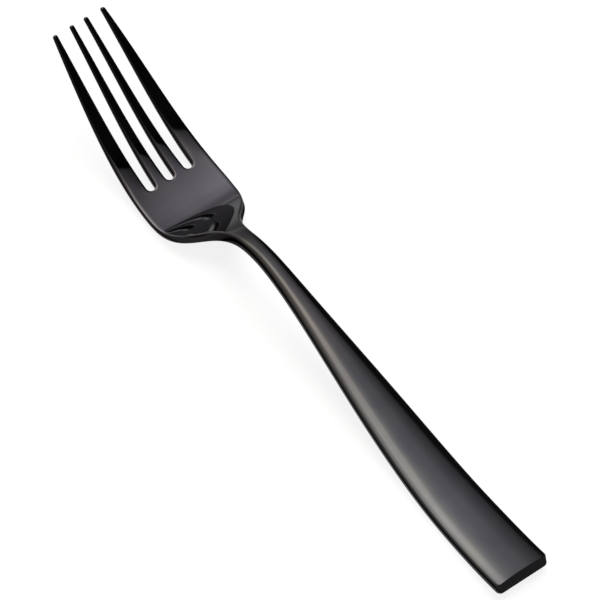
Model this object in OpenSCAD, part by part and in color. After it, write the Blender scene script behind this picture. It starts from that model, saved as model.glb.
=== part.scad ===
// Dinner fork with four tines, forged and pressed from one bar of steel.
// X runs across the fork, Y along it towards the tips, Z up from the table.
// The fork lies with its tines up, on its heel and on the belly of the handle.

/* [Overall] */
// Length from the end of the handle to the tips, measured along the table
length = 205.5; // [185:0.5:225]

/* [Handle] */
// Width of the handle near its end
handle_w = 16.9; // [13:0.1:21]
// Thickness of the handle at its long edges
handle_t = 3.5; // [2.6:0.1:4.4]
// Rise of the rounded top above its long edges
handle_crown = 0.7; // [0.2:0.05:1.2]
// Distance from the end to the belly that rests on the table
belly_run = 27; // [18:0.5:36]
// Height by which the end curls up from the table
end_lift = 2.5; // [0.5:0.1:4]
// Radius of the two corners at the end, seen from above
corner_r = 1.2; // [0.4:0.1:2.5]
// Depth and width of the eased band on the edges of the handle
handle_ease = 0.5; // [0.2:0.05:0.8]

/* [Neck] */
// Distance from the top of the arch to the heel
neck_run = 36.5; // [32:0.5:44]
// Height of the top of the arch above the table
neck_rise = 19.5; // [14:0.1:24]
// Width of the neck where it is narrowest
neck_w = 4.7; // [3.8:0.1:6.5]
// Rise of the rounded top above its edges at the top of the arch
neck_crown = 0.4; // [0.2:0.05:0.8]
// Thickness of the neck at its edges
neck_t = 3.9; // [3:0.1:5]
// Distance from the top of the arch to the narrowest place
waist_run = 10; // [6:0.5:13]

/* [Head] */
// Width of the head at its shoulders
head_w = 26.3; // [23:0.1:30]
// Distance from the heel to the tips
head_run = 52.9; // [48:0.5:58]
// Thickness of the plate at the heel
heel_t = 2.4; // [1.8:0.1:3]
// Swell of the underside below its edges at the heel
heel_belly = 1; // [0.5:0.1:1.6]
// Depth to which the head is dished across at the heel
dish = 0.3; // [0.1:0.05:0.8]
// Depth to which the tines still lie dished at their tips
tip_dish = 0.1; // [0:0.05:0.3]
// How far the eased band reaches in along the outer edge of the head
edge_roll = 1.2; // [0.6:0.1:1.6]

/* [Tines] */
// Distance from the bottom of the slots to the tips
slot_run = 43.6; // [38:0.2:46]
// Width of the slots at their round bottoms
slot_w = 2.9; // [2.4:0.1:3.6]
// Distance between neighbouring slots at their bottoms
slot_pitch = 6.4; // [5.8:0.1:7]
// Height of the tips above the table
tip_rise = 31; // [24:0.1:36]
// Width across all four tips
tip_spread = 17.3; // [16:0.1:20]
// Distance between the middles of the two inner tips
tip_pitch = 4.8; // [4.2:0.1:5.4]
// Width of each tip
tip_w = 1.1; // [0.8:0.05:1.3]
// Thickness of the tines at the tips
tine_t = 1.6; // [1.2:0.1:2]
// Depth of the eased band on the edges of the head and tines
tine_ease = 0.25; // [0.1:0.05:0.35]
// How far the eased band reaches in from the slots at their bottoms
slot_roll = 0.7; // [0.4:0.05:0.9]
// How far it reaches in on either side of a tip
tip_roll = 0.35; // [0.15:0.05:0.4]

/* [Hidden] */

// Steepness of the curl at the end and of the tines at the tips, rise over run
end_slope = -0.25;
tip_slope = 0.71;
// Lean of the outer edge of the outer tines at the tips, inwards over run
tip_taper = -0.16;
// Power of the rounded section: a higher one keeps the middle flatter
section_power = 2.5;
// Distance from the heel to the widest place of the head
shoulder_run = 2;
// Thickness of the handle where it is leanest, and its place before the arch
lean_t = 3.4;
lean_run = 45;
// How far the rounded underside of the neck hangs below its edges
neck_belly = 0.5;

// Places along the fork, from the upper edge of the handle's end
end_over = handle_t * sin(atan(-end_slope));
tip_over = tine_t * sin(atan(tip_slope));
tip_y = length - end_over - tip_over;
root_y = tip_y - slot_run;
heel_y = tip_y - head_run;
neck_y = heel_y - neck_run;
waist_y = neck_y + waist_run;
shoulder_y = heel_y + shoulder_run;
lean_y = neck_y - lean_run;

// Every curve is a row of knots: place, value, slope there, and how far the
// handles of the curve reach before and after it, as shares of the two spans.
spine_share = [[0, 0.27], [0.3, 0.31], [0.2, 0.49], [0.28, 0.39], [0.39, 0]];
plan_share = [[0, 0.57], [0.31, 0.6], [0.64, 0.2], [0.35, 0]];
even_share = 1 / 3;
far_share = 0.7;

function knot(place, value, slope = 0, shares = [even_share, even_share]) =
    [place, value, slope, shares[0], shares[1]];

// Height of the upper edges above the table
spine = [
    knot(0, handle_t + end_lift, end_slope, spine_share[0]),
    knot(belly_run, handle_t, 0, spine_share[1]),
    knot(neck_y, neck_rise, 0, spine_share[2]),
    knot(heel_y, heel_t + heel_belly, 0, spine_share[3]),
    knot(tip_y, tip_rise, tip_slope, spine_share[4])
];
// Half of the width
half_width = [
    knot(0, handle_w / 2, 0, plan_share[0]),
    knot(waist_y, neck_w / 2, 0, plan_share[1]),
    knot(shoulder_y, head_w / 2, 0, plan_share[2]),
    knot(tip_y, tip_spread / 2, tip_taper, plan_share[3])
];
// Thickness at the edges
thickness = [
    knot(0, handle_t),
    knot(belly_run, handle_t),
    knot(lean_y, lean_t),
    knot(neck_y, neck_t),
    knot(heel_y, heel_t),
    knot(tip_y, tine_t)
];
// Rise of the top's middle above its edges, and sag of the underside's
top_bulge = [
    knot(0, handle_crown),
    knot(neck_y, neck_crown),
    knot(heel_y, -dish),
    knot(tip_y, -tip_dish, 0, [far_share, 0])
];
under_bulge = [
    knot(0, 0),
    knot(lean_y, 0),
    knot(neck_y, neck_belly),
    knot(heel_y, heel_belly),
    knot(tip_y, tip_dish, 0, [far_share, 0])
];
// Depth of the eased band, and how far it reaches in from the outside and the slots
ease = [
    knot(0, handle_ease),
    knot(neck_y, handle_ease),
    knot(heel_y, tine_ease),
    knot(tip_y, tine_ease)
];
outer_roll = [
    knot(0, handle_ease),
    knot(neck_y, handle_ease),
    knot(heel_y, edge_roll),
    knot(tip_y, tip_roll)
];
inner_roll = [
    knot(root_y, slot_roll),
    knot(tip_y, tip_roll)
];

// Value, and rate of change, of a cubic curve with four controls
function cubic(c, t) =
    pow(1 - t, 3) * c[0] + 3 * t * pow(1 - t, 2) * c[1]
    + 3 * t * t * (1 - t) * c[2] + pow(t, 3) * c[3];
function cubic_rate(c, t) =
    3 * (pow(1 - t, 2) * (c[1] - c[0]) + 2 * t * (1 - t) * (c[2] - c[1])
    + t * t * (c[3] - c[2]));

// The four controls between two knots
function controls(a, b) = let (run = b[0] - a[0]) [
    [a[0], a[1]],
    [a[0] + run * a[4], a[1] + run * a[4] * a[2]],
    [b[0] - run * b[3], b[1] - run * b[3] * b[2]],
    [b[0], b[1]]
];

// Halving search for the curve's own parameter at the place y
halvings = 26;
function parameter(c, y, low = 0, high = 1, left = halvings) =
    let (mid = (low + high) / 2)
    left == 0 ? mid
    : cubic(c, mid)[0] < y ? parameter(c, y, mid, high, left - 1)
    : parameter(c, y, low, mid, left - 1);

function span(knots, y, i = 0) =
    i >= len(knots) - 2 || y <= knots[i + 1][0] ? i : span(knots, y, i + 1);
function piece(knots, y) =
    let (i = span(knots, y)) controls(knots[i], knots[i + 1]);
function value(knots, y) =
    let (c = piece(knots, y)) cubic(c, parameter(c, y))[1];
function slope(knots, y) =
    let (c = piece(knots, y), rate = cubic_rate(c, parameter(c, y)))
    rate[1] / rate[0];

// What every point at the place y shares: place, height, half width, the
// rise and sag of the section, thickness, ease, and the way square to the plate
function section(y) = let (s = slope(spine, y), size = norm([1, s])) [
    y, value(spine, y), value(half_width, y), value(top_bulge, y),
    value(under_bulge, y), value(thickness, y), value(ease, y), -s / size, 1 / size
];

// A point of the fork: across, and how far it lies square to the plate
function lifted(s, x, up) = [x, s[0] + up * s[7], s[1] + up * s[8]];
function rounded(s, x) = 1 - pow(min(abs(x) / s[2], 1), section_power);
function top_level(s, x) = s[3] * rounded(s, x);
function under_level(s, x) = -s[5] - s[4] * rounded(s, x);

// Tines and slots, seen from above
tines = 4;
outer_tip = tip_spread / 2 - tip_w / 2;
tip_x = [-outer_tip, -tip_pitch / 2, tip_pitch / 2, outer_tip];
slot_r = slot_w / 2;
bend_y = root_y + slot_r;
straight_y = tip_y - tip_w / 2;
root_half = value(half_width, root_y);
function slot_x(i) = (i - (tines - 2) / 2) * slot_pitch;

// Stations along the fork: kind, place and angle on the round of that kind
CORNER = 0;
BODY = 1;
ROOT = 2;
TINE = 3;
TIP = 4;
corner_steps = 3;
handle_steps = 17;
neck_steps = 24;
root_steps = 5;
tine_steps = 13;
tip_steps = 3;
flare_y = neck_y - waist_run;
// Angle on the tip's round at which the blunt end starts
blunt = 75;
function between(a, b, steps, first = 0) =
    [for (i = [first : steps]) a + (b - a) * i / steps];
stations = concat(
    [for (a = between(0, 90, corner_steps)) [CORNER, corner_r * (1 - cos(a)), a]],
    [for (y = between(corner_r, flare_y, handle_steps, 1)) [BODY, y, 0]],
    [for (y = between(flare_y, root_y - slot_r, neck_steps, 1)) [BODY, y, 0]],
    [for (a = between(0, 90, root_steps)) [ROOT, bend_y - slot_r * cos(a), a]],
    [for (y = between(bend_y, straight_y, tine_steps, 1)) [TINE, y, 0]],
    [for (a = between(0, blunt, tip_steps, 1)) [TIP, straight_y + tip_w / 2 * sin(a), a]]
);
root_row = corner_steps + handle_steps + neck_steps + 1;
last_row = len(stations) - 1;

// Outer edge of the fork at a station, drawn in by the given inset
function outer_edge(st, inset) =
    let (half = value(half_width, st[1]))
    st[0] == CORNER ? half - corner_r * (1 - sin(st[2])) - inset : half - inset;

// Edge of the slot beside a tine: [across, along], side -1 or 1 of the slot
function slot_edge(st, i, side, inset) =
    st[0] <= BODY ? [slot_x(i) / root_half * value(half_width, st[1]), st[1]]
    : st[0] == ROOT ? [
        slot_x(i) + side * (slot_r + inset) * sin(st[2]),
        bend_y - (slot_r + inset) * cos(st[2])]
    : let (
        tip = tip_x[side < 0 ? i : i + 1] - side * tip_w / 2,
        root = slot_x(i) + side * slot_r,
        share = (st[1] - bend_y) / (tip_y - bend_y))
    [root + (tip - root) * share + side * inset, st[1]];

// One side of tine k at a station before the tip's round is taken
function is_outer(k, side) = side < 0 ? k == 0 : k == tines - 1;
function side_edge(st, k, side, inset) =
    is_outer(k, side) ? [side * outer_edge(st, inset), st[1]]
    : slot_edge(st, side < 0 ? k - 1 : k, -side, inset);

// The same with the round of the tip
function tine_edge(st, k, side, inset) =
    let (e = side_edge(st, k, side, inset))
    st[0] < TIP ? e
    : [tip_x[k] + (e[0] - tip_x[k]) * cos(st[2]), e[1]];

// Ring of points round tine k at a station, anticlockwise seen from the tips
cells = 3;
ring_size = 2 * (cells + 1) + 4;
function roll(st, k, side) = value(is_outer(k, side) ? outer_roll : inner_roll, st[1]);
function ring(st, k) =
    let (
        s = section(st[1]),
        band = s[6],
        rim_l = tine_edge(st, k, -1, roll(st, k, -1)),
        rim_r = tine_edge(st, k, 1, roll(st, k, 1)),
        x_l = tine_edge(st, k, -1, 0)[0],
        x_r = tine_edge(st, k, 1, 0)[0],
        across = [for (i = [0 : cells]) rim_l + (rim_r - rim_l) * i / cells],
        under = [for (i = [cells : -1 : 0]) across[i]]
    )
    concat(
        [for (p = across) let (at = section(p[1])) lifted(at, p[0], top_level(at, p[0]))],
        [lifted(s, x_r, top_level(s, x_r) - band)],
        [lifted(s, x_r, under_level(s, x_r) + band)],
        [for (p = under) let (at = section(p[1])) lifted(at, p[0], under_level(at, p[0]))],
        [lifted(s, x_l, under_level(s, x_l) + band)],
        [lifted(s, x_l, top_level(s, x_l) - band)]
    );

points = [for (st = stations) for (k = [0 : tines - 1]) each ring(st, k)];

// Places in a ring: the upper and lower rims and the walls between them
rim_right = cells;
wall_right = cells + 1;
low_right = cells + 3;
low_left = 2 * cells + 3;
wall_left = ring_size - 1;
// Up to the root the tines are one plate, so neighbours share their points
function shared(q) =
    q == 0 ? rim_right
    : q == low_left ? low_right
    : q == low_left + 1 ? low_right - 1
    : q == wall_left ? wall_right
    : -1;
function index(row, k, q) =
    row <= root_row && k > 0 && shared(q) >= 0 ? index(row, k - 1, shared(q))
    : (row * tines + k) * ring_size + q;
// Walls between neighbouring tines are open only past the root
function inside(k, q) =
    (k > 0 && q >= low_left) || (k < tines - 1 && q >= rim_right && q < low_right);
function skin(row, k, q) =
    let (
        next = (q + 1) % ring_size,
        a = index(row, k, q),
        b = index(row, k, next),
        c = index(row + 1, k, next),
        d = index(row + 1, k, q)
    )
    [[a, c, b], [a, d, c]];
// Lid of tine k at one end: strips from the upper rim to the lower one
function lid(row, k, flip) =
    let (
        strips = [for (i = [0 : cells - 1]) [i, i + 1, low_left - i - 1, low_left - i]],
        walls = concat(
            k == tines - 1 || row > 0
                ? [[rim_right, wall_right, low_right - 1, low_right]] : [],
            k == 0 || row > 0 ? [[wall_left, 0, low_left, low_left + 1]] : []),
        quads = concat(strips, walls)
    )
    [for (f = quads) each flip
        ? [[for (j = [0, 2, 1]) index(row, k, f[j])], [for (j = [0, 3, 2]) index(row, k, f[j])]]
        : [[for (j = [0, 1, 2]) index(row, k, f[j])], [for (j = [0, 2, 3]) index(row, k, f[j])]]];

faces = concat(
    [for (row = [0 : last_row - 1]) for (k = [0 : tines - 1]) for (q = [0 : ring_size - 1])
        if (row >= root_row || !inside(k, q)) each skin(row, k, q)],
    [for (k = [0 : tines - 1]) each lid(0, k, false)],
    [for (k = [0 : tines - 1]) each lid(last_row, k, true)]
);
low_z = min([for (p = points) p[2]]);

module fork() {
    color([0.16, 0.155, 0.16])
        translate([0, end_over - length / 2, -low_z])
            polyhedron(points = points, faces = faces, convexity = 8);
}

fork();
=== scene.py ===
import math

import bpy
import numpy as np
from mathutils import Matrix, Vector


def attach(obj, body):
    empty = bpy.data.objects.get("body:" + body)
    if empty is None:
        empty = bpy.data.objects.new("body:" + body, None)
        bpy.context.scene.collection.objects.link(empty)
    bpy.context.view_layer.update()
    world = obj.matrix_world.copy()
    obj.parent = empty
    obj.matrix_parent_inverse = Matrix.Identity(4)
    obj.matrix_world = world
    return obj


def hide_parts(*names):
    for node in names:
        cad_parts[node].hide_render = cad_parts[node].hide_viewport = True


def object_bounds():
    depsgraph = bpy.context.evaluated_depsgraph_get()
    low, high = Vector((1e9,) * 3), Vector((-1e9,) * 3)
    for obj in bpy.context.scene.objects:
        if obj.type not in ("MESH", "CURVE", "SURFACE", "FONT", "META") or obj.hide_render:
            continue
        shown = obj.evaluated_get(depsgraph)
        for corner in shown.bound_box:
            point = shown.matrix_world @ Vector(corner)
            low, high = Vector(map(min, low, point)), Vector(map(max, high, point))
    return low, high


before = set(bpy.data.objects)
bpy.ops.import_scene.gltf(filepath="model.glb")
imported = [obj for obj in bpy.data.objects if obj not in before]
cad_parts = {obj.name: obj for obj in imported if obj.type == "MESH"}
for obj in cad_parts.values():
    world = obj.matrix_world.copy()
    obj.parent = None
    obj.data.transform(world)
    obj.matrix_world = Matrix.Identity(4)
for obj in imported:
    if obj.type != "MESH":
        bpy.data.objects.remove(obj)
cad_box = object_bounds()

MM = 0.001

# Sizes of the fork in millimetres, and its slopes, as in the part's own source
LENGTH = 205.5
HANDLE_W, HANDLE_T, HANDLE_CROWN, HANDLE_EASE = 16.9, 3.5, 0.7, 0.5
NECK_CROWN = 0.4
BELLY_RUN, END_LIFT, CORNER_R = 27.0, 2.5, 1.2
NECK_RUN, NECK_RISE, NECK_W, NECK_T, WAIST_RUN = 36.5, 19.5, 4.7, 3.9, 10.0
HEAD_W, HEAD_RUN, HEEL_T, HEEL_BELLY, DISH, TIP_DISH = 26.3, 52.9, 2.4, 1.0, 0.3, 0.1
ROLL, SLOT_ROLL, TIP_ROLL = 1.2, 0.7, 0.35
SLOT_RUN, SLOT_W, SLOT_PITCH = 43.6, 2.9, 6.4
TIP_RISE, TIP_SPREAD, TIP_PITCH, TIP_W = 31.0, 17.3, 4.8, 1.1
TINE_T, TINE_EASE = 1.6, 0.25
END_SLOPE, TIP_SLOPE, TIP_TAPER = -0.25, 0.71, -0.16
SECTION_POWER = 2.5
SHOULDER_RUN, LEAN_T, LEAN_RUN, NECK_BELLY = 2.0, 3.4, 45.0, 0.5
TINES = 4

# Places along the fork, from the upper edge of the handle's end
END_OVER = HANDLE_T * math.sin(math.atan(-END_SLOPE))
TIP_OVER = TINE_T * math.sin(math.atan(TIP_SLOPE))
TIP_Y = LENGTH - END_OVER - TIP_OVER
ROOT_Y = TIP_Y - SLOT_RUN
HEEL_Y = TIP_Y - HEAD_RUN
NECK_Y = HEEL_Y - NECK_RUN
WAIST_Y = NECK_Y + WAIST_RUN
SHOULDER_Y = HEEL_Y + SHOULDER_RUN
LEAN_Y = NECK_Y - LEAN_RUN

# How far a knot's handles reach, as shares of the run to the next knot
EVEN, FAR = 1 / 3, 0.7


def knot(place, value, slope=0.0, reach=(EVEN, EVEN)):
    """Point of a curve along the fork: its place, the value and slope there, and how far its
    handles reach before and after it."""
    return [place, value, slope, *reach]


SPINE = [
    knot(0, HANDLE_T + END_LIFT, END_SLOPE, (0, 0.27)),
    knot(BELLY_RUN, HANDLE_T, 0, (0.3, 0.31)),
    knot(NECK_Y, NECK_RISE, 0, (0.2, 0.49)),
    knot(HEEL_Y, HEEL_T + HEEL_BELLY, 0, (0.28, 0.39)),
    knot(TIP_Y, TIP_RISE, TIP_SLOPE, (0.39, 0)),
]
HALF_WIDTH = [
    knot(0, HANDLE_W / 2, 0, (0, 0.57)),
    knot(WAIST_Y, NECK_W / 2, 0, (0.31, 0.6)),
    knot(SHOULDER_Y, HEAD_W / 2, 0, (0.64, 0.2)),
    knot(TIP_Y, TIP_SPREAD / 2, TIP_TAPER, (0.35, 0)),
]
THICKNESS = [
    knot(0, HANDLE_T), knot(BELLY_RUN, HANDLE_T), knot(LEAN_Y, LEAN_T),
    knot(NECK_Y, NECK_T), knot(HEEL_Y, HEEL_T), knot(TIP_Y, TINE_T),
]
TOP_BULGE = [
    knot(0, HANDLE_CROWN), knot(NECK_Y, NECK_CROWN), knot(HEEL_Y, -DISH),
    knot(TIP_Y, -TIP_DISH, 0, (FAR, 0)),
]
UNDER_BULGE = [
    knot(0, 0), knot(LEAN_Y, 0), knot(NECK_Y, NECK_BELLY), knot(HEEL_Y, HEEL_BELLY),
    knot(TIP_Y, TIP_DISH, 0, (FAR, 0)),
]
# Depth of the eased edges, and how far they reach in along the outside and the slots
EASE = [
    knot(0, HANDLE_EASE), knot(NECK_Y, HANDLE_EASE), knot(HEEL_Y, TINE_EASE),
    knot(TIP_Y, TINE_EASE),
]
OUTER_ROLL = [
    knot(0, HANDLE_EASE), knot(NECK_Y, HANDLE_EASE), knot(HEEL_Y, ROLL), knot(TIP_Y, TIP_ROLL),
]
INNER_ROLL = [knot(ROOT_Y, SLOT_ROLL), knot(TIP_Y, TIP_ROLL)]
# Crown of each tine across its own width, less on a tine narrower than this half width
TINE_CROWN, CROWNED_HALF = 0.08, 2.0

# Degrees by which the shading of the walls stays short of square to them, so that they read as
# a hair convex
WALL_TILT = 12
# Step along the fork, in millimetres, over which the bend of its spine is measured
BEND_STEP = 0.001

# Fineness of the mesh: cells across a tine's face, rings round an eased edge, and rows along
CELLS, ROUNDS = 8, 6
CORNER_ROWS, HANDLE_ROWS, NECK_ROWS, ROOT_ROWS, TINE_ROWS, TIP_ROWS = 5, 64, 72, 14, 44, 8
# Rounds of the handle's end face and of the tips, and how far round the tips the rows go
END_EASE, TIP_EASE = 0.12, 0.25
BLUNT = math.radians(84)
# Halvings that find a curve's point, the least length to divide by, and the share of the CAD
# box's width that the mesh keeps to
HALVINGS, TINY, INSIDE = 40, 1e-6, 0.9999

SLOT_R = SLOT_W / 2
BEND_Y = ROOT_Y + SLOT_R
STRAIGHT_Y = TIP_Y - TIP_W / 2
OUTER_TIP = TIP_SPREAD / 2 - TIP_W / 2
TIP_X = [-OUTER_TIP, -TIP_PITCH / 2, TIP_PITCH / 2, OUTER_TIP]
# Kinds of row: the plate from the handle's end, the slots' round bottoms, the tines, the tips
BODY, ROOT, TINE, TIP = range(4)

# Tint of the black coat by place along the fork, in millimetres from its middle, out to the reach
# given below, with painted shade and painted reflection brightness in its levels: cooler on the
# handle, painted shade where the neck comes down to the head
BLUISH, ROSY, VIOLET = (0.98, 0.99, 1.03), (1.03, 0.98, 0.98), (1.02, 0.965, 1.02)
TINT_AND_SHADE_REACH = 100
TINTS_AND_PAINTED_SHADE = [
    (-100, 0.8, BLUISH), (-70, 0.84, BLUISH), (-45, 0.945, BLUISH), (-8, 0.945, ROSY),
    (16, 0.56, ROSY), (26, 0.53, ROSY), (35, 0.92, VIOLET), (50, 1.02, VIOLET),
    (62, 0.82, VIOLET), (100, 0.9, VIOLET)]

# Painted shade of the coat by how far the surface faces up: 1 is flat on top, 0 a wall, -1
# underneath
PAINTED_SHADE_BY_FACING = [
    (-0.9, 0.8), (-0.3, 0.4), (-0.1, 0.5), (-0.01, 0.6), (0.06, 0.04), (0.2, 0.13),
    (0.35, 0.12), (0.6, 0.25), (0.78, 0.35), (0.83, 0.7), (0.87, 0.7), (0.906, 0.65),
    (0.94, 0.75), (0.975, 1.0)]

# Smudges on the coat: their scale and detail, the span of the noise that shows, and the colours
# and roughness that they move between
SMUDGE_SCALE, SMUDGE_DETAIL, SMUDGE = 110.0, 4.0, (0.3, 0.7)
COAT, ROUGHNESS = ((0.132, 0.131, 0.138), (0.155, 0.151, 0.149)), (0.05, 0.075)
# Fine polishing grain along the fork: its scale, detail, strength and depth in metres
GRAIN_SCALE, GRAIN_DETAIL = (9000.0, 260.0, 9000.0), 3.0
GRAIN_STRENGTH, GRAIN_DEPTH = 0.02, 0.00002
# Tint of what the coat mirrors at a glance, lower on the walls as painted shade: on its faces, on
# its walls over this run of the fork in metres, and how flat the surface lies where it turns from
# wall to face
FACE_GLANCE, WALL_GLANCE, WALL_RUN, FACE_FROM = 0.9, (0.42, 0.405), (-0.02, 0.05), (0.35, 0.6)

# Brightness of the softbox by direction, across the fork and along it: the level across it that
# white stands for, its level as a whole, and the spans in which the stops lie
WARM, PLAIN, COOL = (1.04, 1.01, 0.915), (1.01, 1.01, 0.98), (0.97, 0.975, 1.04)
BRIGHTEST, BOX_LEVEL = 2.3, 2.9
ACROSS, ALONG = (-0.6, 0.7), (-0.5, 1.0)
BOX_ACROSS = [
    (-0.6, 0.35, WARM), (-0.4, 0.55, WARM), (-0.1, 0.5, WARM), (-0.03, 0.72, WARM),
    (0.03, 1.35, WARM), (0.07, 2.1, WARM), (0.12, 1.95, WARM), (0.155, 1.45, WARM),
    (0.18, 1.1, PLAIN), (0.22, 0.88, PLAIN), (0.26, 0.74, COOL), (0.33, 0.56, COOL),
    (0.41, 0.35, COOL), (0.5, 0.21, COOL), (0.53, 0.17, COOL), (0.565, 0.02, PLAIN)]
BOX_ALONG = [
    (-0.5, 0.2), (-0.37, 0.25), (-0.21, 0.46), (0.06, 0.76), (0.34, 1.02), (0.45, 1.03),
    (0.6, 0.95), (0.86, 0.9), (0.93, 0.75), (1.0, 0.7)]
# The softbox narrows towards the front: over this run, how much, the line it closes in on, and
# the line its left side keeps
NARROW_RUN, NARROW, NARROW_MIDDLE, NARROW_LEFT = (0.3, 0.0), 0.24, 0.38, 0.12
# Its front edge: the run over which it comes up, how much it slants, and about which line
EDGE, SLANT, SLANT_MIDDLE = (-0.335, -0.295), 0.5, 0.33
# Rim of the studio: the heights over which it darkens, and its levels there
RIM, RIM_LEVELS = (0.02, 0.12), (0.2, 0.006)
# Low band of light: the heights over which it comes and goes, its level, and the way and run in
# which it leaves a gap behind the tines
BAND_COMES, BAND_GOES, BAND_LEVEL = (0.1, 0.2), (0.5, 0.35), 0.55
GAP_WAY, GAP = (0.4, 0.9), (0.75, 0.55)
# Faint light from the front: the run over which it comes, and its level
FRONT, FRONT_LEVEL = (-0.3, -0.5), 0.02
# Lamp: its place and width in metres, and its power in watts
KEY_PLACE, KEY_SIZE, KEY_POWER = (0.6, 0.5, 2.0), 1.6, 46.0

# Floor: half its size in metres, and the share of its white that is lit and takes the shadow
FLOOR, FLOOR_LIT = 12.0, 0.15
# Pool of light on it: its middle, the distances over which it fades, and what is left there
POOL_MIDDLE, POOL, POOL_END = (-0.06, -0.03, 0.0), (0.08, 0.22), 0.35

# Camera of the photograph
PHOTO = 600
CAMERA_AZIMUTH, CAMERA_ELEVATION = math.radians(-36.576), math.radians(56.829)
CAMERA_DISTANCE = 1.7
CAMERA_TARGET = Vector((0, -0.001784, 0.015895))
PIXELS_PER_M = 3650
SENSOR = 36
CLIP = (0.1, 100)


def cubic(c, t):
    r = 1 - t
    return r**3 * c[0] + 3 * t * r**2 * c[1] + 3 * t**2 * r * c[2] + t**3 * c[3]


def cubic_rate(c, t):
    r = 1 - t
    return 3 * (r**2 * (c[1] - c[0]) + 2 * t * r * (c[2] - c[1]) + t**2 * (c[3] - c[2]))


def curve(knots, y):
    """Value and slope of a row of knots at the places y."""
    k = np.array(knots, float)
    y = np.asarray(y, float)
    i = np.clip(np.searchsorted(k[:, 0], y) - 1, 0, len(k) - 2)
    a, b = k[i], k[i + 1]
    run = b[..., 0] - a[..., 0]
    after, before = run * a[..., 4], run * b[..., 3]
    along = [a[..., 0], a[..., 0] + after, b[..., 0] - before, b[..., 0]]
    level = [a[..., 1], a[..., 1] + after * a[..., 2], b[..., 1] - before * b[..., 2], b[..., 1]]
    low, high = np.zeros_like(y), np.ones_like(y)
    for _ in range(HALVINGS):
        mid = (low + high) / 2
        short = cubic(along, mid) < y
        low, high = np.where(short, mid, low), np.where(short, high, mid)
    t = (low + high) / 2
    return cubic(level, t), cubic_rate(level, t) / cubic_rate(along, t)


def slot_x(i):
    return (i - (TINES - 2) / 2) * SLOT_PITCH


def steps(a, b, n, first=0):
    return [a + (b - a) * i / n for i in range(first, n + 1)]


ROOT_HALF = float(curve(HALF_WIDTH, ROOT_Y)[0])


class Row:
    """One ring round every tine: its kind and place, the angle on the round of that kind,
    how far the section shrinks there and how far its faces lean towards the nearer end."""

    def __init__(self, kind, y, angle=0.0, shrink=0.0, lean=0.0):
        self.kind, self.y, self.angle, self.shrink, self.lean = kind, y, angle, shrink, lean
        self.half, self.rate = (float(v) for v in curve(HALF_WIDTH, y))
        self.share = self.half / ROOT_HALF
        self.outer_roll = float(curve(OUTER_ROLL, y)[0])
        self.inner_roll = float(curve(INNER_ROLL, y)[0]) if y > ROOT_Y else SLOT_ROLL
        if y < CORNER_R:
            left = CORNER_R - y
            reach = math.sqrt(max(CORNER_R**2 - left**2, 0))
            self.half += reach - CORNER_R
            self.rate += left / max(reach, TINY)


def stations():
    """Rows of the fork from the handle's end to the tips."""
    quarter = math.pi / 2
    rows = [
        Row(BODY, END_EASE * (1 - math.cos(b)), 0, END_EASE * (1 - math.sin(b)), b - quarter)
        for b in steps(0, quarter, ROUNDS)
    ]
    first = math.acos(1 - END_EASE / CORNER_R)
    places = [CORNER_R * (1 - math.cos(a)) for a in steps(first, quarter, CORNER_ROWS, 1)]
    places += steps(CORNER_R, NECK_Y - WAIST_RUN, HANDLE_ROWS, 1)
    places += steps(NECK_Y - WAIST_RUN, ROOT_Y - SLOT_R, NECK_ROWS, 1)
    rows += [Row(BODY, y) for y in places]
    rows += [Row(ROOT, BEND_Y - SLOT_R * math.cos(a), a) for a in steps(0, quarter, ROOT_ROWS)]
    rows += [Row(TINE, y) for y in steps(BEND_Y, STRAIGHT_Y, TINE_ROWS, 1)]
    for a in steps(0, BLUNT, TIP_ROWS, 1):
        fall = TIP_EASE * math.sin(a) / (TIP_W / 2 * math.cos(a))
        place = STRAIGHT_Y + TIP_W / 2 * math.sin(a)
        rows.append(Row(TIP, place, a, TIP_EASE * (1 - math.cos(a)), math.atan(fall)))
    return rows


def is_outer(k, side):
    return (side < 0 and k == 0) or (side > 0 and k == TINES - 1)


def wall_of(row, k, side):
    """Place in the plan of one wall of tine k at a row, and the way out of the metal there."""
    y = row.y
    i = k - 1 if side < 0 else k
    if is_outer(k, side):
        shrink = row.shrink if row.kind == BODY else 0
        place, out = [side * (row.half - shrink), y], [side, -row.rate]
    elif row.kind == BODY:
        place, out = [slot_x(i) * row.share, y], [0, 1]
    elif row.kind == ROOT:
        across, along = SLOT_R * math.sin(row.angle), SLOT_R * math.cos(row.angle)
        place, out = [slot_x(i) - side * across, BEND_Y - along], [side * across, along]
    else:
        root = slot_x(i) - side * SLOT_R
        rate = (TIP_X[k] + side * TIP_W / 2 - root) / (TIP_Y - BEND_Y)
        place, out = [root + rate * (y - BEND_Y), y], [side, -side * rate]
    if row.kind == TIP:
        place[0] = TIP_X[k] + (place[0] - TIP_X[k]) * math.cos(row.angle)
        out = [side * math.cos(row.angle), math.sin(row.angle)]
    return np.array(place), np.array(out) / math.hypot(*out)


def inset_of(row, k, side, turn):
    """The same wall's place, drawn in where the edge's round has turned this far."""
    place, out = wall_of(row, k, side)
    roll = row.outer_roll if is_outer(k, side) else row.inner_roll
    inset = roll * (1 - math.sin(turn))
    if row.kind == BODY and not is_outer(k, side):
        return place
    if row.kind == ROOT and not is_outer(k, side):
        return place - out * inset
    return place - [side * inset * (math.cos(row.angle) if row.kind == TIP else 1), 0]


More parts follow.
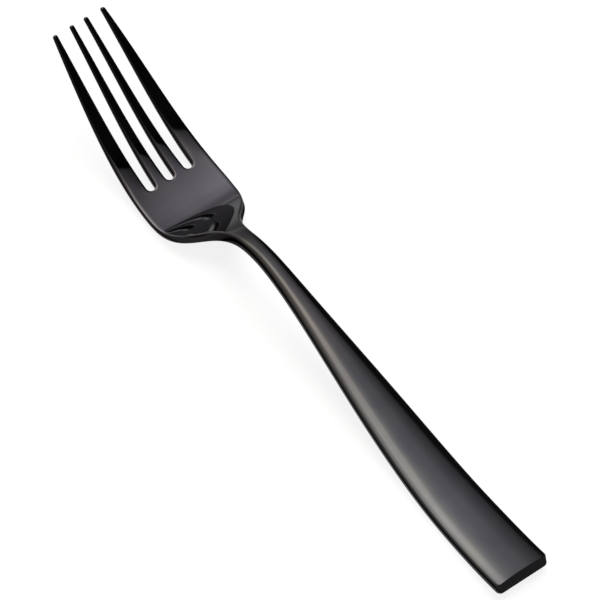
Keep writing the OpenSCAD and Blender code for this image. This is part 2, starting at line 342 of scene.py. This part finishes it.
def ring_of(row, k):
    """Plan places round tine k at a row, the way out of the nearer wall, the reach of its
    eased edge, and each place's share of the tine's width from its middle."""
    turns = steps(0, math.pi / 2, ROUNDS, 1)
    left, right = (inset_of(row, k, side, 0) for side in (-1, 1))
    top = [left + (right - left) * i / CELLS for i in range(CELLS + 1)]
    walls = [[inset_of(row, k, side, t) for t in turns] for side in (1, -1)]
    places = top + walls[0] + walls[0][::-1] + top[::-1] + walls[1] + walls[1][::-1]
    sides = ([-1] * (CELLS + 1) + [1] * 2 * ROUNDS) + ([1] * (CELLS + 1) + [-1] * 2 * ROUNDS)
    rolls = {side: row.outer_roll if is_outer(k, side) else row.inner_roll for side in (-1, 1)}
    ends = [wall_of(row, k, side)[0][0] for side in (-1, 1)]
    middle, half = (ends[0] + ends[1]) / 2, max((ends[1] - ends[0]) / 2, TINY)
    return [
        [*place, *wall_of(row, k, side)[1], rolls[side], (place[0] - middle) / half, half]
        for place, side in zip(places, sides)
    ]


def height(x, y, sheet, tine_share, tine_half):
    """Height of the top (sheet 1) or the underside (-1) over the spine, and its slopes across
    and along the fork."""
    half, half_rate = curve(HALF_WIDTH, y)
    top, top_rate = curve(TOP_BULGE, y)
    under, under_rate = curve(UNDER_BULGE, y)
    thick, thick_rate = curve(THICKNESS, y)
    share = np.minimum(np.abs(x) / half, 1)
    crown = 1 - share**SECTION_POWER
    fall = -SECTION_POWER * share ** (SECTION_POWER - 1) / half
    crown_x, crown_y = fall * np.sign(x), -fall * share * half_rate
    grown = np.clip((y - ROOT_Y) / (BEND_Y + SLOT_W - ROOT_Y), 0, 1)
    pillow = TINE_CROWN * grown**2 * (3 - 2 * grown) * np.minimum(tine_half / CROWNED_HALF, 1)
    up = np.where(sheet > 0, top * crown + pillow * (1 - tine_share**2), -thick - under * crown)
    up_x = np.where(sheet > 0, top, -under) * crown_x
    up_x = up_x - np.where(sheet > 0, 2 * pillow * tine_share / tine_half, 0)
    up_y = np.where(
        sheet > 0, top_rate * crown + top * crown_y,
        -thick_rate - under_rate * crown - under * crown_y)
    return up, up_x, up_y


def unit(ways):
    return ways / np.linalg.norm(ways, axis=-1, keepdims=True)


def surface(ring, turn, sheet, shrink, lean):
    """Points of the fork and the directions square to its surface there."""
    x, y, out_x, out_y, roll, tine_share, tine_half = np.moveaxis(ring, -1, 0)
    level, s = curve(SPINE, y)
    ease = curve(EASE, y)[0]
    up, up_x, up_y = height(x, y, sheet, tine_share, tine_half)
    up = up - sheet * (ease * (1 - np.cos(turn)) + shrink)
    size = np.sqrt(1 + s * s)
    zero = np.zeros_like(s)
    across = np.stack([zero + 1, zero, zero], -1)
    along = np.stack([zero, 1 / size, s / size], -1)
    square = np.stack([zero, -s / size, 1 / size], -1)
    places = np.stack([x, y, level], -1) + up[..., None] * square
    ahead, behind = np.minimum(y + BEND_STEP, TIP_Y), np.maximum(y - BEND_STEP, 0)
    bend = (curve(SPINE, ahead)[1] - curve(SPINE, behind)[1]) / (ahead - behind) / size**3
    run = size * (1 - bend * up)
    normal = square - across * up_x[..., None] - along * (up_y / run)[..., None]
    normal = unit(normal * sheet[..., None])
    normal = normal * np.cos(lean)[..., None] + along * np.sin(lean)[..., None]
    wall = across * out_x[..., None] + along * out_y[..., None]
    tip = np.arctan2(ease * np.sin(turn), roll * np.cos(turn))[..., None] * (1 - WALL_TILT / 90)
    return places, unit(normal * np.cos(tip) + wall * np.sin(tip))


def ring_faces(rows):
    """Faces between the rings, where neighbouring tines are one plate up to the root."""
    root_row = next(i for i, row in enumerate(rows) if row.kind == ROOT)
    size = 2 * (CELLS + 1) + 4 * ROUNDS
    rim_right, low_right = CELLS, CELLS + 1 + 2 * ROUNDS
    low_left = low_right + CELLS

    def index(row, k, q):
        if row <= root_row and k > 0:
            if q == 0:
                return index(row, k - 1, rim_right)
            if q >= low_left:
                return index(row, k - 1, low_right + low_left - q)
        return (row * TINES + k) * size + q

    def lid(row, k):
        strips = [[i, i + 1, low_left - i - 1, low_left - i] for i in range(CELLS)]
        if row > 0 or k == TINES - 1:
            strips.append(list(range(rim_right, low_right + 1)))
        if row > 0 or k == 0:
            strips.append([*range(low_left, size), 0])
        return [[index(row, k, q) for q in strip] for strip in strips]

    faces = []
    for row in range(len(rows) - 1):
        for k in range(TINES):
            for q in range(size):
                inner = (k > 0 and q >= low_left) or (k < TINES - 1 and rim_right <= q < low_right)
                if row < root_row and inner:
                    continue
                after = (q + 1) % size
                faces.append([
                    index(row, k, q), index(row, k, after),
                    index(row + 1, k, after), index(row + 1, k, q)])
    for k in range(TINES):
        faces += [face[::-1] for face in lid(0, k)]
        faces += lid(len(rows) - 1, k)
    return faces


def fork_mesh():
    rows = stations()
    rings = np.array([[ring_of(row, k) for k in range(TINES)] for row in rows])
    shape = rings.shape[:3]
    turns = steps(0, math.pi / 2, ROUNDS, 1)
    turn = np.broadcast_to(np.array(([0] * (CELLS + 1) + turns + turns[::-1]) * 2), shape)
    sheet = np.ones(shape)
    sheet[..., CELLS + 1 + ROUNDS: 2 * (CELLS + 1) + 3 * ROUNDS] = -1
    shrink, lean = (
        np.broadcast_to(np.array(v)[:, None, None], shape)
        for v in ([row.shrink for row in rows], [row.lean for row in rows])
    )
    places, normals = surface(rings, turn, sheet, shrink, lean)
    faces = ring_faces(rows)
    used = sorted({i for face in faces for i in face})
    number = {i: n for n, i in enumerate(used)}
    places, normals = places.reshape(-1, 3)[used], normals.reshape(-1, 3)[used]
    places = (places + [0, END_OVER - LENGTH / 2, -places[:, 2].min()]) * MM
    # The solid's facets pass the widest place a hair inside its curve
    places[:, 0] *= min(1, INSIDE * cad_box[1][0] / np.abs(places[:, 0]).max())
    return places, normals, [[number[i] for i in face] for face in faces]


def add_object(name, data):
    added = bpy.data.objects.new(name, data)
    bpy.context.scene.collection.objects.link(added)
    return added


def aim(aimed, way):
    aimed.rotation_mode = "QUATERNION"
    aimed.rotation_quaternion = way.to_track_quat("-Z", "Y")


def make_fork():
    places, normals, faces = fork_mesh()
    mesh = bpy.data.meshes.new("fork_polished")
    mesh.from_pydata(places.tolist(), [], faces)
    mesh.shade_smooth()
    mesh.normals_split_custom_set_from_vertices(normals.tolist())
    return add_object("fork_polished", mesh)


class Nodes:
    """Short ways to add linked shader nodes to one tree."""

    def __init__(self, tree):
        self.tree = tree
        tree.nodes.clear()

    def add(self, kind, inputs=None, **settings):
        node = self.tree.nodes.new(kind)
        for name, value in settings.items():
            setattr(node, name, value)
        for name, value in (inputs or {}).items():
            if isinstance(value, bpy.types.NodeSocket):
                self.tree.links.new(value, node.inputs[name])
            else:
                node.inputs[name].default_value = value
        return node

    def math(self, operation, *values):
        node = self.add("ShaderNodeMath", dict(enumerate(values)), operation=operation)
        return node.outputs[0]

    def split(self, vector):
        return list(self.add("ShaderNodeSeparateXYZ", {"Vector": vector}).outputs)

    def noise(self, coords, scale, detail):
        inputs = {"Vector": coords, "Scale": scale, "Detail": detail}
        return self.add("ShaderNodeTexNoise", inputs).outputs["Fac"]

    def remap(self, value, low, high, to_low=0.0, to_high=1.0, kind="SMOOTHSTEP"):
        inputs = {
            "Value": value, "From Min": low, "From Max": high, "To Min": to_low, "To Max": to_high}
        return self.add("ShaderNodeMapRange", inputs, interpolation_type=kind).outputs["Result"]

    def ramp(self, value, stops):
        node = self.add("ShaderNodeValToRGB", {"Fac": value})
        node.color_ramp.interpolation = "LINEAR"
        elements = node.color_ramp.elements
        while len(elements) < len(stops):
            elements.new(0.5)
        for element, (place, color) in zip(elements, stops):
            element.position = place
            element.color = (*color, 1) if isinstance(color, tuple) else (color,) * 3 + (1,)
        return node.outputs["Color"]

    def profile(self, value, low, high, stops):
        """Level or colour by a value, from stops that stand at values between low and high."""
        share = self.remap(value, low, high, kind="LINEAR")
        return self.ramp(share, [((at - low) / (high - low), level) for at, level in stops])


def tinted(level, tint):
    return tuple(level * part for part in tint)


def new_material(name):
    material = bpy.data.materials.new(name)
    material.use_nodes = True
    return material, Nodes(material.node_tree)


def black_steel():
    """Polished steel under a black coat. Its colour goes by smudges, by a tint with painted shade
    along the fork and by painted shade by how far the surface faces up, and its walls mirror less
    at a glance than its faces, which is painted shade too."""
    material, n = new_material("black_steel")
    coords = n.add("ShaderNodeTexCoord").outputs
    place = n.split(coords["Object"])[1]
    facing = n.split(coords["Normal"])[2]
    smudge = n.noise(coords["Object"], SMUDGE_SCALE, SMUDGE_DETAIL)
    # Coat tint with painted shade and painted reflection brightness by place along the fork
    tint_and_shade = n.profile(place, -TINT_AND_SHADE_REACH * MM, TINT_AND_SHADE_REACH * MM, [
        (at * MM, tinted(level, tint)) for at, level, tint in TINTS_AND_PAINTED_SHADE])
    color = n.ramp(smudge, list(zip(SMUDGE, COAT)))
    color = n.add("ShaderNodeVectorMath", {0: color, 1: tint_and_shade}, operation="MULTIPLY").outputs[0]
    # Painted shade by facing: walls, rounded edges and underside darker than the top
    level = n.profile(facing, -1.0, 1.0, PAINTED_SHADE_BY_FACING)
    color = n.add("ShaderNodeVectorMath", {0: color, "Scale": level}, operation="SCALE").outputs[0]
    # Walls mirror less at a glance than faces: painted shade on the walls
    wall = n.remap(place, *WALL_RUN, *WALL_GLANCE)
    face = n.remap(n.math("ABSOLUTE", facing), *FACE_FROM)
    glance = n.math("MULTIPLY_ADD", face, n.math("SUBTRACT", FACE_GLANCE, wall), wall)
    grain = n.add("ShaderNodeMapping", {"Vector": coords["Object"], "Scale": GRAIN_SCALE})
    grain = n.noise(grain.outputs[0], 1.0, GRAIN_DETAIL)
    bump = n.add("ShaderNodeBump", {
        "Height": grain, "Strength": GRAIN_STRENGTH, "Distance": GRAIN_DEPTH})
    shader = n.add("ShaderNodeBsdfPrincipled", {
        "Base Color": color, "Metallic": 1.0, "Roughness": n.remap(smudge, *SMUDGE, *ROUGHNESS),
        "Normal": bump.outputs[0], "Specular Tint": glance})
    n.add("ShaderNodeOutputMaterial", {"Surface": shader.outputs[0]})
    return material


def make_floor():
    """White table. A share of its white is lit by the lamp and takes the shadow, and the rest
    is its own glow. Far from the pool's middle the lit share and what reflections see of the
    glow fade, while the camera still sees white."""
    mesh = bpy.data.meshes.new("floor")
    corners = [(-FLOOR, -FLOOR, 0), (FLOOR, -FLOOR, 0), (FLOOR, FLOOR, 0), (-FLOOR, FLOOR, 0)]
    mesh.from_pydata(corners, [], [(0, 1, 2, 3)])
    material, n = new_material("floor")
    coords = n.add("ShaderNodeTexCoord").outputs["Object"]
    away = n.add("ShaderNodeVectorMath", {0: coords, 1: POOL_MIDDLE}, operation="DISTANCE")
    pool = n.remap(away.outputs["Value"], *POOL, 1.0, POOL_END)
    lit = n.math("MULTIPLY", pool, FLOOR_LIT)
    path = n.add("ShaderNodeLightPath").outputs
    mirrored = n.math("MAXIMUM", path["Is Glossy Ray"], path["Is Transmission Ray"])
    mirrored = n.math("MULTIPLY", mirrored, n.math("MULTIPLY", pool, 1 - FLOOR_LIT))
    seen = n.math("MULTIPLY_ADD", path["Is Camera Ray"], n.math("SUBTRACT", 1.0, lit), mirrored)
    paper = n.add("ShaderNodeBsdfDiffuse", {"Color": lit})
    glow = n.add("ShaderNodeEmission", {"Color": (1, 1, 1, 1), "Strength": seen})
    both = n.add("ShaderNodeAddShader", {0: paper.outputs[0], 1: glow.outputs[0]})
    n.add("ShaderNodeOutputMaterial", {"Surface": both.outputs[0]})
    mesh.materials.append(material)
    add_object("floor", mesh)


def softbox(n, x, y):
    """Light of the softbox by direction: bright along its left side, falling off to the right
    and towards the front, where it narrows and ends in a sharp slanting edge."""
    narrow = n.remap(y, *NARROW_RUN, 1.0, 1.0 + NARROW, kind="LINEAR")
    aside = n.math("MULTIPLY_ADD", n.math("SUBTRACT", x, NARROW_MIDDLE), narrow, NARROW_MIDDLE)
    aside = n.math("MAXIMUM", aside, n.math("MINIMUM", x, NARROW_LEFT))
    color = n.profile(aside, *ACROSS, [
        (at, tinted(level / BRIGHTEST, tint)) for at, level, tint in BOX_ACROSS])
    slant = n.math("MULTIPLY", n.math("SUBTRACT", x, SLANT_MIDDLE), SLANT)
    edge = n.remap(n.math("SUBTRACT", y, slant), *EDGE, 0.0, BOX_LEVEL)
    strength = n.math("MULTIPLY", n.profile(y, *ALONG, BOX_ALONG), edge)
    return n.add("ShaderNodeBackground", {"Color": color, "Strength": strength}).outputs[0]


def dim_studio(n, x, y, z):
    """Light of the rest of the studio by direction: a dim rim low down, a low band all round
    but behind the tines, and a faint light from the front."""
    rim = n.remap(z, *RIM, *RIM_LEVELS)
    band = n.math("MULTIPLY", n.remap(z, *BAND_COMES), n.remap(z, *BAND_GOES))
    behind = n.math("MULTIPLY_ADD", x, GAP_WAY[0], n.math("MULTIPLY", y, GAP_WAY[1]))
    band = n.math("MULTIPLY", band, n.remap(behind, *GAP, 0.0, BAND_LEVEL))
    front = n.remap(y, *FRONT, 0.0, FRONT_LEVEL)
    dim = n.math("ADD", rim, n.math("ADD", front, band))
    return n.add("ShaderNodeBackground", {"Color": (1, 1, 1, 1), "Strength": dim}).outputs[0]


def studio_world():
    """Dark studio with one broad softbox up behind the fork, on its right."""
    world = bpy.data.worlds.new("studio")
    bpy.context.scene.world = world
    world.use_nodes = True
    n = Nodes(world.node_tree)
    x, y, z = n.split(n.add("ShaderNodeTexCoord").outputs["Generated"])
    both = n.add("ShaderNodeAddShader", {0: softbox(n, x, y), 1: dim_studio(n, x, y, z)})
    n.add("ShaderNodeOutputWorld", {"Surface": both.outputs[0]})


def key_lamp():
    """Broad lamp that lights the floor from where the bright part of the studio is."""
    lamp = bpy.data.lights.new("key", "AREA")
    lamp.shape, lamp.size, lamp.energy = "DISK", KEY_SIZE, KEY_POWER
    key = add_object("key", lamp)
    key.location = KEY_PLACE
    aim(key, -key.location)
    key.visible_camera = False
    key.visible_glossy = False


def make_camera():
    a, e = CAMERA_AZIMUTH, CAMERA_ELEVATION
    back = Vector((math.sin(a) * math.cos(e), -math.cos(a) * math.cos(e), math.sin(e)))
    data = bpy.data.cameras.new("photo")
    data.sensor_width = SENSOR
    data.lens = PIXELS_PER_M * CAMERA_DISTANCE / PHOTO * SENSOR
    data.clip_start, data.clip_end = CLIP
    camera = add_object("photo", data)
    camera.location = CAMERA_TARGET + back * CAMERA_DISTANCE
    aim(camera, -back)
    bpy.context.scene.camera = camera


fork = make_fork()
fork.data.materials.append(black_steel())
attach(fork, "root")
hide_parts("fork")
make_floor()
studio_world()
key_lamp()
make_camera()
bpy.context.scene.view_settings.view_transform = "Standard"
